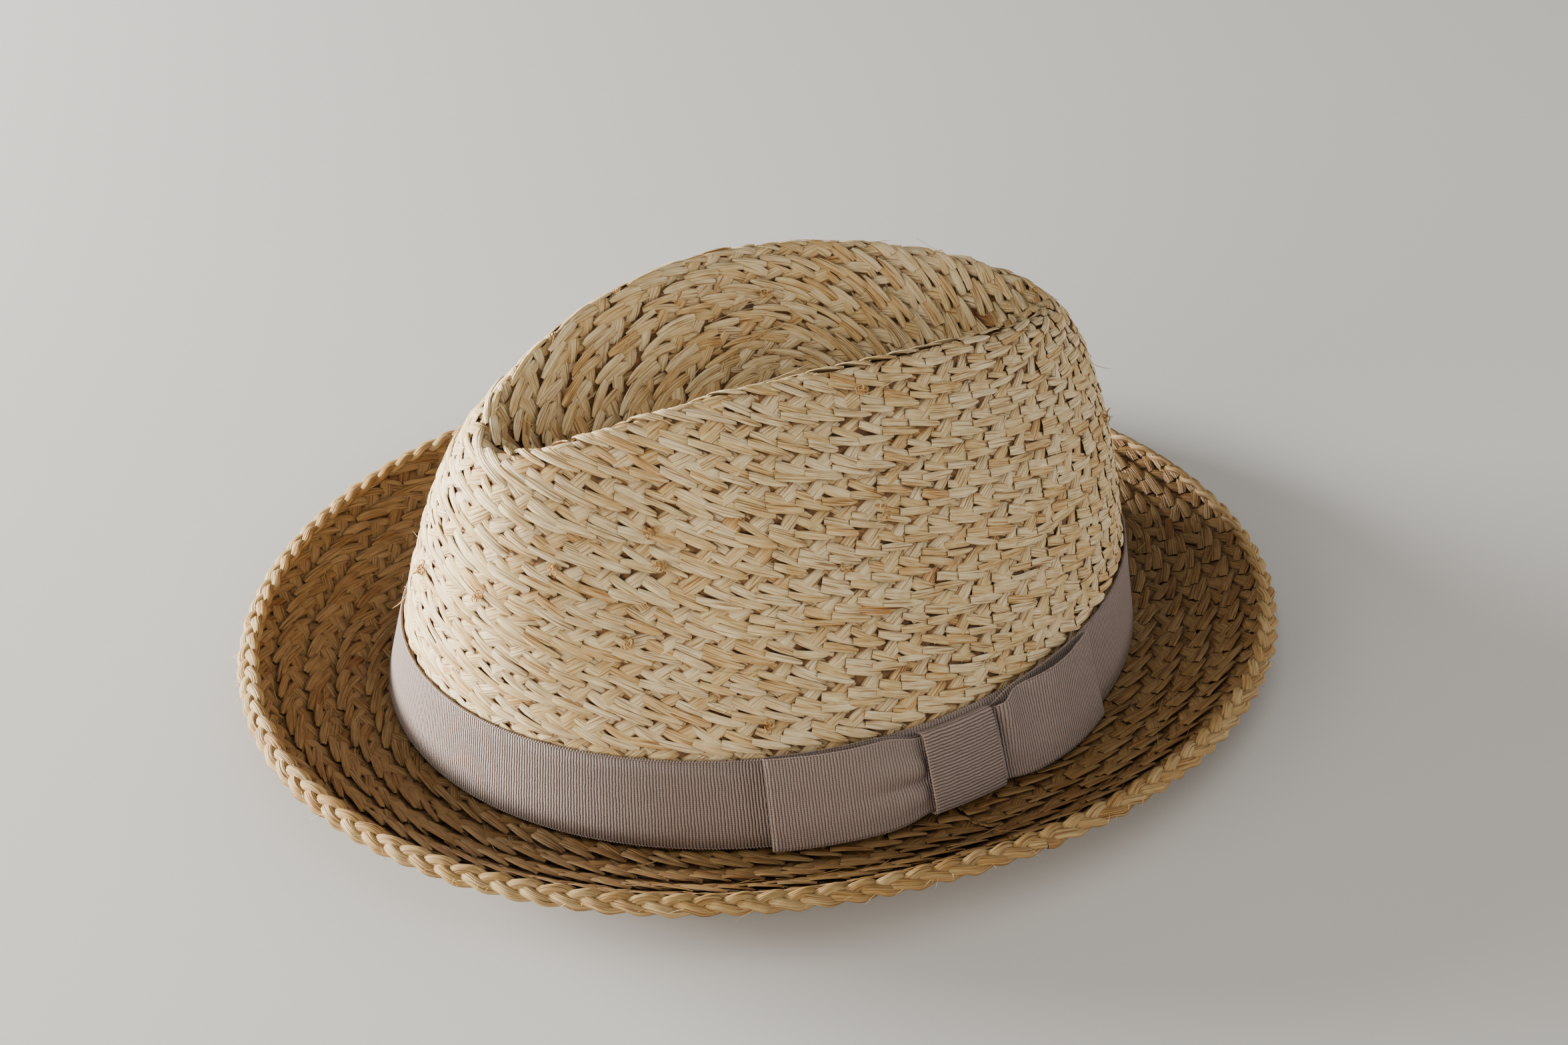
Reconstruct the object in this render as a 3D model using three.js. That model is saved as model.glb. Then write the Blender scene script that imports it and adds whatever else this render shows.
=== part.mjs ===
// A plaited raffia hat with a teardrop crown, a turned-up brim and a ribbon band with a flat bow.
// Millimetres, +Z up. The front points to -Y and the wearer's left, with the bow, to +X.
// The origin lies on the resting surface, below the middle of the hat.

import * as THREE from 'three';

// Head opening: the oval round the outside of the ribbon, where the crown meets the brim
const headLength = 206;
const headWidth = 170.5;

// Materials
const strawWall = 2.4;
const ribbonThickness = 1;
const ribbonWidth = 22;
const clearance = 0.3;

// Crown: its height, and the teardrop loop that its two ridges form. The loop is highest a little in
// front of its middle, narrows towards the front and drops to both ends.
const crownHeight = 102.5;
const ridgeLength = 166;
const ridgeWidth = 63;
const ridgePeak = 21;
const frontTaper = 0.16;
const frontDrop = 14.5;
const backDrop = 20;

// Crease in the top: its depth below the side ridges and the straight line that it closes on
const creaseDepth = 34;
const creaseLineLength = 50;

// Pinches: one on each side, measured round the oval from the middle of the side to the front
const pinchDepth = 8;
const pinchAngle = 43;
const pinchSpread = 17;

// Brim: how far it reaches past the head oval and lifts there, and the flat ring that it rests on.
// It reaches a little further at the front and back, and lifts more on the left, at the front and at
// the two sides.
const brimReach = 31;
const endReach = 2.2;
const brimLift = 8.5;
const leftLift = 2.2;
const frontLift = 2.5;
const sideLift = 1.5;
const brimCurl = 1.6;
const restWidth = 3;

// Edge braid: its section, across the brim and through it
const edgeWidth = 5;
const edgeThickness = 4.4;

// Bow: its middle on the ribbon, measured round the oval from the middle of the side to the back
const bowAngle = 1.5;
const knotWidth = 21;
const bowLength = 107;
const loopGap = 0.9;
const knotGather = 1.6;
const loopRise = 1;

// Sections of the wall from brim to ridge. rise is a share of the height and side, front and back are
// shares of the way in from the foot of the crown to the ridge. pinch is a share of the pinch's depth.
const WALL = [
  { rise: 0, side: 0, front: 0, back: 0, pinch: 0 },
  { rise: 0.24, side: 0.2, front: 0.12, back: 0.09, pinch: 0.1 },
  { rise: 0.5, side: 0.42, front: 0.24, back: 0.2, pinch: 0.75 },
  { rise: 0.75, side: 0.67, front: 0.44, back: 0.42, pinch: 1 },
  { rise: 0.92, side: 0.88, front: 0.72, back: 0.7, pinch: 0.4 },
];

// Sections of the crease from ridge to middle: way is a share of the way in, fall a share of the depth
const CREASE = [
  { way: 0, fall: 0 },
  { way: 0.13, fall: 0.12 },
  { way: 0.3, fall: 0.44 },
  { way: 0.52, fall: 0.76 },
  { way: 0.78, fall: 0.95 },
  { way: 1, fall: 1 },
];

// Sections of a bow loop from the knot out along its inner layer and back along its outer layer.
// along is a share of the loop's length, layer goes from 0, inner, to 1, outer, and puff is in gaps.
const LOOP = [
  { along: 0, layer: 0, puff: 0 },
  { along: 0.3, layer: 0, puff: 0 },
  { along: 0.62, layer: 0, puff: 0 },
  { along: 0.96, layer: 0, puff: 0 },
  { along: 0.99, layer: 0.2, puff: 0 },
  { along: 1, layer: 0.5, puff: 0 },
  { along: 0.99, layer: 0.8, puff: 0 },
  { along: 0.94, layer: 1, puff: 0.1 },
  { along: 0.7, layer: 1, puff: 0.5 },
  { along: 0.48, layer: 1, puff: 0.7 },
  { along: 0.3, layer: 1, puff: 0.4 },
  { along: 0.2, layer: 1, puff: 0 },
  { along: 0, layer: 1, puff: 0 },
];

// How finely the shapes are divided
const columns = 48;
const wallSteps = 3;
const creaseSteps = 2;
const brimSteps = 5;
const bandSteps = 2;
const edgeSides = 8;
const knotSteps = 4;
const longestStep = 5;
const tinyStep = 0.001;

const radians = THREE.MathUtils.degToRad;
const mix = THREE.MathUtils.lerp;
const bell = (offset, spread) => Math.exp(-((offset / spread) ** 2));

const straw = { color: 0xd9bd8b, roughness: 0.75, metalness: 0 };
const darkStraw = { color: 0xb08a56, roughness: 0.8, metalness: 0 };
const ribbon = { color: 0x9a8178, roughness: 0.7, metalness: 0 };

// The foot of the crown is smaller than the head oval by the ribbon that lies round it
const ribbonRoom = ribbonThickness + clearance;
const footLength = headLength - 2 * ribbonRoom;
const footWidth = headWidth - 2 * ribbonRoom;
const footHeight = strawWall + clearance;

// Share of a section's front or back column that holds at an angle round the oval
function blendSection(section, angle) {
  const end = Math.sin(angle) < 0 ? section.front : section.back;
  return mix(section.side, end, Math.sin(angle) ** 2);
}

// Depth of the two pinches at an angle round the oval
function pinchAt(angle) {
  const fromSide = THREE.MathUtils.radToDeg(Math.atan2(-Math.sin(angle), Math.abs(Math.cos(angle))));
  return pinchDepth * bell(fromSide - pinchAngle, pinchSpread);
}

// The curve of the crown's outer face at one angle, from its foot over the ridge to the crease
function crownCurve(angle) {
  const across = Math.cos(angle);
  const back = Math.sin(angle);
  const foot = new THREE.Vector2((footWidth / 2) * across, (footLength / 2) * back);
  const inward = foot.clone().normalize();
  const ridge = new THREE.Vector2(
    (ridgeWidth / 2) * across * (1 + frontTaper * Math.min(back, 0)),
    (ridgeLength / 2) * back,
  );
  const line = new THREE.Vector2(0, (creaseLineLength / 2) * back);
  const behindPeak = ridge.y + ridgePeak;
  const drop = behindPeak < 0 ? frontDrop : backDrop;
  const run = behindPeak < 0 ? ridgeLength / 2 - ridgePeak : ridgeLength / 2 + ridgePeak;
  const ridgeHeight = crownHeight - drop * (behindPeak / run) ** 2;
  const creaseHeight = crownHeight - creaseDepth;
  const points = WALL.map((section) => {
    const place = foot.clone().lerp(ridge, blendSection(section, angle));
    place.addScaledVector(inward, -section.pinch * pinchAt(angle));
    return new THREE.Vector3(place.x, place.y, mix(footHeight, ridgeHeight, section.rise));
  });
  for (const section of CREASE) {
    const place = ridge.clone().lerp(line, section.way);
    points.push(new THREE.Vector3(place.x, place.y, mix(ridgeHeight, creaseHeight, section.fall)));
  }
  return new THREE.CatmullRomCurve3(points);
}

// A point on the crown's outer face moved out from the face. find picks it on the curve of an angle.
function offsetPoint(angle, find, out) {
  const place = find(crownCurve(angle), 0);
  const up = find(crownCurve(angle), tinyStep).sub(place);
  const along = find(crownCurve(angle + tinyStep), 0).sub(place);
  return place.addScaledVector(along.cross(up).normalize(), out);
}

// The point at an angle and a distance up the wall from the foot, moved out from the face
function wallPoint(angle, height, out) {
  return offsetPoint(angle, (curve, more) => curve.getPointAt(height / curve.getLength() + more), out);
}

// Distance round the head oval, in millimetres, turned into an angle from the bow's middle
function bowStep(distance) {
  return radians(bowAngle) + distance / (headWidth / 2 + (headLength - headWidth) / 2);
}

// One closed body through rings of points, each ring a closed section. The rings join up in a loop, or
// each end is closed by a strip between the two long sides of its section.
function sweep(rings, looped) {
  const count = rings[0].length;
  const vertices = rings.flat().flatMap((point) => point.toArray());
  const triangles = [];
  const links = looped ? rings.length : rings.length - 1;
  for (let ring = 0; ring < links; ring += 1) {
    for (let side = 0; side < count; side += 1) {
      const next = (side + 1) % count;
      const here = ring * count;
      const there = ((ring + 1) % rings.length) * count;
      triangles.push(here + side, there + side, there + next);
      triangles.push(here + side, there + next, here + next);
    }
  }
  if (!looped) {
    const last = links * count;
    for (let step = 0; step < count / 2 - 1; step += 1) {
      const far = count - 1 - step;
      triangles.push(step, step + 1, far - 1, step, far - 1, far);
      triangles.push(last + step, last + far - 1, last + step + 1);
      triangles.push(last + step, last + far, last + far - 1);
    }
  }
  return makeGeometry(vertices, triangles);
}

// Geometry from plain lists, turned inside out where its faces would point in
function makeGeometry(vertices, triangles) {
  const geometry = new THREE.BufferGeometry();
  geometry.setAttribute('position', new THREE.Float32BufferAttribute(vertices, 3));
  let volume = 0;
  const corner = [new THREE.Vector3(), new THREE.Vector3(), new THREE.Vector3()];
  for (let first = 0; first < triangles.length; first += 3) {
    corner.forEach((point, index) => point.fromArray(vertices, 3 * triangles[first + index]));
    volume += corner[0].dot(corner[1].clone().cross(corner[2]));
  }
  if (volume < 0) triangles.reverse();
  geometry.setIndex(triangles);
  geometry.computeVertexNormals();
  return geometry;
}

function makePiece(name, geometry, look) {
  const piece = new THREE.Mesh(geometry, new THREE.MeshStandardMaterial(look));
  piece.name = name;
  return piece;
}

const angles = Array.from({ length: columns }, (_, column) => (column / columns) * 2 * Math.PI);

// Places of the crown's rings on its curve: a few to each section of the wall and of the crease, so
// that one ring lies on the ridge, and none on the middle line that the crease closes on
function crownRings() {
  const sections = WALL.length + CREASE.length - 1;
  const places = [];
  for (let section = 0; section < sections; section += 1) {
    const steps = section < WALL.length ? wallSteps : creaseSteps;
    for (let step = 0; step < steps; step += 1) places.push((section + step / steps) / sections);
  }
  return places;
}

// The crown: outer face, inner face one wall further in, a rim below, and a seam closed like a zip
// along the middle line of the crease
function makeCrown() {
  const vertices = [];
  const triangles = [];
  const rings = crownRings();
  for (const out of [0, -strawWall]) {
    for (const ring of rings) {
      for (const angle of angles) {
        const point = offsetPoint(angle, (curve, more) => curve.getPoint(ring + more), out);
        if (ring === 0) point.z = footHeight;
        vertices.push(...point.toArray());
      }
    }
  }
  const face = rings.length * columns;
  const top = rings.length - 1;
  const index = (side, ring, column) => side * face + ring * columns + (column % columns);
  for (let column = 0; column < columns; column += 1) {
    const next = column + 1;
    for (let ring = 0; ring < top; ring += 1) {
      triangles.push(index(0, ring, column), index(0, ring, next), index(0, ring + 1, next));
      triangles.push(index(0, ring, column), index(0, ring + 1, next), index(0, ring + 1, column));
      triangles.push(index(1, ring, column), index(1, ring + 1, next), index(1, ring, next));
      triangles.push(index(1, ring, column), index(1, ring + 1, column), index(1, ring + 1, next));
    }
    triangles.push(index(1, 0, column), index(1, 0, next), index(0, 0, next));
    triangles.push(index(1, 0, column), index(0, 0, next), index(0, 0, column));
  }
  // Columns pair up across the middle line, from the one at the back to the one at the front
  const backColumn = columns / 4;
  for (let pair = 0; pair < columns / 2; pair += 1) {
    const left = (backColumn + columns - pair) % columns;
    const right = (backColumn + pair) % columns;
    const leftNext = (left + columns - 1) % columns;
    const rightNext = (right + 1) % columns;
    const zip = [];
    if (left !== right) zip.push([left, right, rightNext]);
    if (leftNext !== rightNext) zip.push([left, rightNext, leftNext]);
    for (const corners of zip) {
      triangles.push(...corners.map((column) => index(0, top, column)));
      triangles.push(...corners.reverse().map((column) => index(1, top, column)));
    }
  }
  return makePiece('crown', makeGeometry(vertices, triangles), straw);
}

// Outward direction of the head oval in plan
function ovalOut(angle) {
  const across = Math.cos(angle) / headWidth;
  const back = Math.sin(angle) / headLength;
  return new THREE.Vector3(across, back, 0).normalize();
}

// How far the brim reaches at an angle round the oval
function reachAt(angle) {
  return brimReach + endReach * Math.sin(angle) ** 2;
}

// A point of the brim: reach outward from the head oval, and through its wall from its underside
function brimPoint(angle, reach, through) {
  const out = ovalOut(angle);
  const ends = leftLift * Math.cos(angle) - frontLift * Math.sin(angle);
  const lift = brimLift + ends + sideLift * Math.cos(2 * angle);
  const width = reachAt(angle) - restWidth;
  const bent = Math.max(reach - restWidth, 0) / width;
  const height = lift * bent ** brimCurl;
  const slope = Math.atan((lift * brimCurl * bent ** (brimCurl - 1)) / width);
  const place = new THREE.Vector3((headWidth / 2) * Math.cos(angle), (headLength / 2) * Math.sin(angle), 0);
  place.addScaledVector(out, reach - through * Math.sin(slope));
  place.z = height + through * Math.cos(slope);
  return { place, out, slope };
}

// The brim: a flat ring below the crown that curls up to the outer edge
function makeBrim() {
  const rings = angles.map((angle) => {
    const reaches = [-(ribbonRoom + strawWall)];
    for (let step = 0; step <= brimSteps; step += 1) {
      reaches.push(mix(restWidth, reachAt(angle), step / brimSteps));
    }
    return [
      ...reaches.map((reach) => brimPoint(angle, reach, 0).place),
      ...reaches.map((reach) => brimPoint(angle, reach, strawWall).place).reverse(),
    ];
  });
  return makePiece('brim', sweep(rings, true), darkStraw);
}

// The edge braid: an oval section that carries on from the brim's outer edge
function makeBrimEdge() {
  const rings = angles.map((angle) => {
    const edge = brimPoint(angle, reachAt(angle), strawWall / 2);
    const outward = edge.out.clone().multiplyScalar(Math.cos(edge.slope));
    outward.z = Math.sin(edge.slope);
    const upward = edge.out.clone().multiplyScalar(-Math.sin(edge.slope));
    upward.z = Math.cos(edge.slope);
    const centre = edge.place.addScaledVector(outward, clearance + edgeWidth / 2);
    return Array.from({ length: edgeSides }, (_, side) => {
      const turn = (2 * Math.PI * side) / edgeSides;
      const point = centre.clone().addScaledVector(outward, (edgeWidth / 2) * Math.cos(turn));
      return point.addScaledVector(upward, (edgeThickness / 2) * Math.sin(turn));
    });
  });
  return makePiece('brim_edge', sweep(rings, true), straw);
}

// The ribbon: a closed band that leans with the crown's wall
function makeRibbonBand() {
  const heights = Array.from({ length: bandSteps + 1 }, (_, step) => (ribbonWidth * step) / bandSteps);
  const rings = angles.map((angle) => [
    ...heights.map((height) => wallPoint(angle, height, ribbonRoom)),
    ...heights.map((height) => wallPoint(angle, height, clearance)).reverse(),
  ]);
  rings.flat().forEach((point) => {
    point.z = Math.max(point.z, footHeight);
  });
  return makePiece('ribbon_band', sweep(rings, true), ribbon);
}

// How firmly the knot holds a loop, from 1 below the knot to 0 well past it
function knotGrip(distance) {
  return bell(Math.max(distance - knotWidth / 2, 0), knotWidth / 3);
}

// The centre line of a bow loop: distance from the bow's middle and distance out from the ribbon
function loopLine() {
  const innerLayer = clearance + ribbonThickness / 2;
  const length = bowLength / 2 - clearance / 2 - ribbonThickness / 2;
  const turns = LOOP.map((section) => {
    const distance = clearance / 2 + section.along * length;
    const apart = ribbonThickness + mix(loopGap, clearance, knotGrip(distance));
    return new THREE.Vector2(
      distance,
      innerLayer + section.layer * apart + section.puff * loopGap,
    );
  });
  return subdivide(turns);
}

// The same line in steps short enough to follow the crown's round
function subdivide(line) {
  const fine = [line[0]];
  line.slice(1).forEach((end, index) => {
    const start = line[index];
    const parts = Math.ceil(start.distanceTo(end) / longestStep);
    for (let part = 1; part <= parts; part += 1) {
      fine.push(start.clone().lerp(end, part / parts));
    }
  });
  return fine;
}

// Points one half thickness to either side of a line in a plane
function thicken(line, thickness) {
  const sides = [[], []];
  line.forEach((point, index) => {
    const before = line[Math.max(index - 1, 0)];
    const after = line[Math.min(index + 1, line.length - 1)];
    const heading = after.clone().sub(before).normalize();
    const across = new THREE.Vector2(-heading.y, heading.x).multiplyScalar(thickness / 2);
    sides[0].push(point.clone().add(across));
    sides[1].push(point.clone().sub(across));
  });
  return [...sides[0], ...sides[1].reverse()];
}

// A bow loop: the flat fold of ribbon, swept from its lower to its upper edge
function makeLoop(name, direction) {
  const outline = thicken(loopLine(), ribbonThickness);
  const levels = [0, 0.5, 1];
  const rings = levels.map((level) =>
    outline.map((point) => {
      const grip = knotGrip(point.x);
      const upper = ribbonWidth + mix(loopRise, -knotGather, grip);
      const height = mix(knotGather * grip, upper, level);
      return wallPoint(bowStep(direction * point.x), height, ribbonRoom + point.y);
    }),
  );
  return makePiece(name, sweep(rings, false), ribbon);
}

// The knot: a strip that goes over both loops and turns in above and below them
function makeKnot() {
  const lip = clearance + ribbonThickness / 2;
  const low = knotGather - lip;
  const high = ribbonWidth - knotGather + lip;
  const outer = 3 * clearance + 2.5 * ribbonThickness;
  const line = [
    new THREE.Vector2(low, lip),
    new THREE.Vector2(low, outer - ribbonThickness / 2),
    new THREE.Vector2(low + ribbonThickness / 2, outer),
    new THREE.Vector2(mix(low, high, 0.5), outer + loopGap / 2),
    new THREE.Vector2(high - ribbonThickness / 2, outer),
    new THREE.Vector2(high, outer - ribbonThickness / 2),
    new THREE.Vector2(high, lip),
  ];
  const outline = thicken(line, ribbonThickness);
  const rings = Array.from({ length: knotSteps + 1 }, (_, step) => {
    const distance = mix(-knotWidth / 2, knotWidth / 2, step / knotSteps);
    return outline.map((point) => wallPoint(bowStep(distance), point.x, ribbonRoom + point.y));
  });
  return makePiece('bow_knot', sweep(rings, false), ribbon);
}

const hat = new THREE.Group();
hat.add(makeCrown());
hat.add(makeBrim());
hat.add(makeBrimEdge());
hat.add(makeRibbonBand());
hat.add(makeLoop('bow_front_loop', -1));
hat.add(makeLoop('bow_back_loop', 1));
hat.add(makeKnot());

// The brim lifts unevenly, so the head oval's middle is a fraction of a millimetre off the hat's middle
const middle = new THREE.Box3().setFromObject(hat).getCenter(new THREE.Vector3());
hat.position.set(-middle.x, -middle.y, 0);

export default hat;
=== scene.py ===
"""A plaited raffia hat with a teardrop crown, a turned-up brim and a ribbon with a flat bow.

The crown's plait is laid as one spiral and the brim's in closed rings, and every strand follows the
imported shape. Lengths are in millimetres until a mesh is finished, then in metres.
"""

import math

import bmesh
import bpy
import numpy as np
from mathutils import Matrix, Vector
from mathutils.bvhtree import BVHTree


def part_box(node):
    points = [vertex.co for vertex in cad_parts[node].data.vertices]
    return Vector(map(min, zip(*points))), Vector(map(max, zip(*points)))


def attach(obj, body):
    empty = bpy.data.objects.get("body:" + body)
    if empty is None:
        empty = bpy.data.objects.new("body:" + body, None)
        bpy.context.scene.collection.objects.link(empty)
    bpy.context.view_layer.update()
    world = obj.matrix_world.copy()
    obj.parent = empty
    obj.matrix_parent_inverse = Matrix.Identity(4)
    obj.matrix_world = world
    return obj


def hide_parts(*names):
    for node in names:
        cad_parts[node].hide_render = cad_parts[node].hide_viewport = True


bl_info = {
    "name": "Raffia hat",
    "version": (1, 0, 0),
    "blender": (4, 5, 0),
    "location": "View3D > Sidebar > Hat",
    "description": "Builds a plaited raffia hat with a ribbon and a flat bow",
    "category": "Add Mesh",
}

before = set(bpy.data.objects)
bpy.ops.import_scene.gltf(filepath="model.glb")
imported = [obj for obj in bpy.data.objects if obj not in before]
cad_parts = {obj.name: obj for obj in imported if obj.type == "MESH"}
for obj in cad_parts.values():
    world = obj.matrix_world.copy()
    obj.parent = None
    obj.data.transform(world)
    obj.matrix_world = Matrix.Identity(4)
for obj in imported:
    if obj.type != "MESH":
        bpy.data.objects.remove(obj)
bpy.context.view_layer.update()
MM = 0.001
ROUND = 2 * math.pi

# Points in one turn round the hat
AROUND = 720

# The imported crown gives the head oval's middle, the crown's foot and its height
FOOT_LOW, FOOT_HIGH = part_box("crown")
MIDDLE_X = (FOOT_LOW[0] + FOOT_HIGH[0]) / 2 / MM
MIDDLE_Y = (FOOT_LOW[1] + FOOT_HIGH[1]) / 2 / MM
FOOT_WIDTH = (FOOT_HIGH[0] - FOOT_LOW[0]) / MM
FOOT_LENGTH = (FOOT_HIGH[1] - FOOT_LOW[1]) / MM
FOOT_HEIGHT = FOOT_LOW[2] / MM
CROWN_HEIGHT = FOOT_HIGH[2] / MM

# The teardrop loop of the two ridges and the crease between them. The plait starts in the tip, at
# TIP_CENTRE behind the middle. The rows of the lower wall, up to LEVEL_SHARE, lie level.
RIDGE_LENGTH = 166
RIDGE_WIDTH = 63
RIDGE_PEAK = 21
FRONT_TAPER = 0.16
FRONT_DROP = 14.5
BACK_DROP = 20
CREASE_DEPTH = 34
CREASE_LINE = 50
TIP_CENTRE = 14
LEVEL_SHARE = 0.3
PINCH_DEPTH = 8
PINCH_ANGLE = 43
PINCH_SPREAD = 17

# Straw wall, ribbon and brim, as packed
WALL_THICKNESS = 2.4
RIBBON_ROOM = 1.3
RIBBON_WIDTH = 22
RIBBON_PACKED = 1
CLEARANCE = 0.3
BRIM_REACH = 31
END_REACH = 2.2
UNDER_EDGE = 2.4
BRIM_LIFT = 8.5
LEFT_LIFT = 2.2
FRONT_LIFT = 2.5
SIDE_LIFT = 1.5
BRIM_CURL = 1.6
REST_WIDTH = 3
EDGE_WIDTH = 5

# The real ribbon: its length round the crown, and its thickness on the band and loops and on the knot
RIBBON_LENGTH = 592
CLOTH_THICKNESS = 0.6
KNOT_THICKNESS = 0.7

# The band's low edge above the crown's foot, and how far inside its room the middle of its cloth lies
BAND_START = 0.4
BAND_INSET = 0.45

# How far behind the surface the backs of the strands lie, and the backing's middle and thickness
STRAND_DEPTH = 1.1
CROWN_INSIDE_DEPTH = 1.35
BRIM_UNDER_DEPTH = 1.3
CROWN_BACKING_DEPTH = 1.05
BRIM_BACKING_DEPTH = 1.1
BACKING_THICKNESS = 0.3

# Strands under the brim flatten just above the surface that the hat rests on
REST_GAP = 0.05

# Shares of the crown's rows, from the tip, where one piece of its plait ends and the next starts
RIDGE_SHARE = 0.38
WALL_SHARE = 0.68

# Edge braid: its strands, the length of one bump, how far a strand sways across and weaves in and out, its
# half width and half thickness, the lean of the braid's face in degrees, and the grid of one strand
BRAID_STRANDS = 3
BRAID_BUMP = 7.3
BRAID_SWAY = 1.5
BRAID_WEAVE = 0.62
BRAID_BROAD = 1.4
BRAID_THIN = 0.9
BRAID_LEAN = 38
BRAID_SIDES = 10
BRAID_STEPS = 26

# Hairs under the edge braid: how far below the brim's upper face they start, and the edge's rough radius
HAIR_DEPTH = 1.6
EDGE_RADIUS = 130

# Bow: its middle round the oval, and the sizes of its knot and loops
BOW_ANGLE = 1.5
KNOT_WIDTH = 21
BOW_LENGTH = 107
LOOP_GAP = 0.9
KNOT_GATHER = 1.6
LOOP_RISE = 1

# Crown wall: rise, then the way in at the side, front and back, then the share of the pinch
WALL = (
    (0, 0, 0, 0, 0),
    (0.24, 0.2, 0.12, 0.09, 0.1),
    (0.5, 0.42, 0.24, 0.2, 0.75),
    (0.75, 0.67, 0.44, 0.42, 1),
    (0.92, 0.88, 0.72, 0.7, 0.4),
)

# Crease: way in from the ridge to the middle line, then the share of the depth
CREASE = (
    (0, 0),
    (0.13, 0.12),
    (0.3, 0.44),
    (0.52, 0.76),
    (0.78, 0.95),
    (1, 1),
)

# Bow loop: share of its length, layer from 0 inner to 1 outer, and puff in gaps
LOOP = (
    (0, 0, 0),
    (0.3, 0, 0),
    (0.62, 0, 0),
    (0.96, 0, 0),
    (0.99, 0.2, 0),
    (1, 0.5, 0),
    (0.99, 0.8, 0),
    (0.94, 1, 0.1),
    (0.7, 1, 0.5),
    (0.48, 1, 0.7),
    (0.3, 1, 0.4),
    (0.2, 1, 0),
    (0, 1, 0),
)

# One cell of the plait, in shares of a row's pitch: along, across, length and width, then the turn in
# degrees, and the lift and half the rise from start to end in millimetres. Across grows towards the foot
# of the crown and the brim's edge. Each strand starts over its neighbour and ends under the next.
STRANDS = (
    (0.60, -0.36, 1.02, 0.49, 31, 0.22, -0.3),
    (0.0, -0.15, 1.16, 0.54, -31, 0.45, -0.28),
    (-0.26, 0.20, 1.38, 0.38, 23, 0.60, -0.34),
    (-0.34, 0.46, 1.36, 0.32, 15, 0.78, -0.32),
)

# Front loop's pleat beside the knot: height in millimetres, share of the way up and spread
PLEAT = (
    (1.7, 0.62, 0.17),
    (-1.1, 0.43, 0.06),
    (0.9, 0.24, 0.13),
)

# Orange-brown tufts where a strand ends on the crown: angle in degrees and share of the way from the foot
# to the tip, and the number of curls in each
TUFTS = (
    (316, 0.452), (317.5, 0.406), (349.5, 0.388), (282.5, 0.324), (261.5, 0.288), (0, 0.639),
    (334, 0.178), (298, 0.393), (311, 0.297), (172, 0.767), (358, 0.452), (60, 0.35),
    (104, 0.22), (128, 0.52), (196, 0.44), (232, 0.27),
)
CURLS = 16

# Soft lights: place and size in metres, power in watts and colour
LIGHTS = (
    ("window", (-1.0, -0.9, 0.18), (0.8, 0.14), 100, "#FFFDF8"),
    ("room", (0.35, -1.45, 0.4), (1.2, 0.5), 21, "#FFF6E8"),
    ("sky", (0.3, -0.1, 1.5), (1.4, 1.4), 4.5, "#FFF6E8"),
    ("wall", (0.9, 1.3, 0.4), (1.4, 0.6), 14, "#F8F0E4"),
)

# Camera: its place round and above the crown's foot and its roll in degrees, how far it looks to the right
# of the foot and above it in degrees, its distance in metres and its lens in millimetres
CAMERA_AZIMUTH = 55.5824
CAMERA_ELEVATION = 35.9471
CAMERA_ROLL = 2.0622
CAMERA_RIGHT = 0.2207
CAMERA_UP = 1.8911
CAMERA_DISTANCE = 0.879748
CAMERA_LENS = 76.53


def linear(text):
    """Linear colour from an sRGB hex value."""
    parts = [int(text[first:first + 2], 16) / 255 for first in (1, 3, 5)]
    return [part / 12.92 if part <= 0.04045 else ((part + 0.055) / 1.055) ** 2.4 for part in parts]


def mix(low, high, share):
    """A value part of the way from low to high."""
    return low + (high - low) * share


def bell(offset, spread):
    """1 at no offset, falling smoothly to 0 past the spread."""
    return np.exp(-((offset / spread) ** 2))


def unit(vectors, least=0):
    """The same directions at length 1. least keeps a vector of no length from dividing by zero."""
    return vectors / (np.linalg.norm(vectors, axis=-1, keepdims=True) + least)


def run_along(points):
    """Distance along a line from its first point to each of its points."""
    steps = np.linalg.norm(np.diff(points, axis=0), axis=1)
    return np.concatenate([[0], np.cumsum(steps)])


class HatSizes(bpy.types.PropertyGroup):
    """Sizes of the plait and the ribbon"""

    row_pitch: bpy.props.FloatProperty(
        name="Row pitch", description="Distance from one row of plait to the next, in millimetres",
        default=7.2, min=5, max=10)
    rib_pitch: bpy.props.FloatProperty(
        name="Rib pitch", description="Distance between two ribs of the ribbon, in millimetres",
        default=0.8, min=0.5, max=2)
    fibre_width: bpy.props.FloatProperty(
        name="Fibre width", description="Width of one split fibre on a strand, in millimetres",
        default=0.5, min=0.2, max=1)
    looseness: bpy.props.FloatProperty(
        name="Looseness", description="How unevenly the strands lie",
        default=1, min=0, max=2, subtype="FACTOR")
    loose_fibres: bpy.props.IntProperty(
        name="Loose fibres", description="Number of stray fibres on the crown, the brim and its edge each",
        default=260, min=0, max=600)


def colour_property(name, description, text):
    """A colour that the user can change."""
    return bpy.props.FloatVectorProperty(
        name=name, description=description, default=linear(text), size=3, min=0, max=1, subtype="COLOR")


class HatColours(bpy.types.PropertyGroup):
    """Colours of the straw and the ribbon"""

    pale: colour_property("Pale straw", "Lightest fibres", "#F3E2BA")
    straw: colour_property("Straw", "Most of the fibres", "#DEC188")
    tan: colour_property("Tan straw", "Darker fibres", "#C49658")
    brown: colour_property("Brown straw", "Splits and the backs of strands", "#8A6236")
    knot: colour_property("Knot", "Orange-brown tufts", "#B8792F")
    ribbon: colour_property("Ribbon", "Tops of the ribs", "#9C887F")
    # The groove colour is painted shade between the ribs
    groove_shade: colour_property("Groove", "Between the ribs", "#463832")


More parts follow.
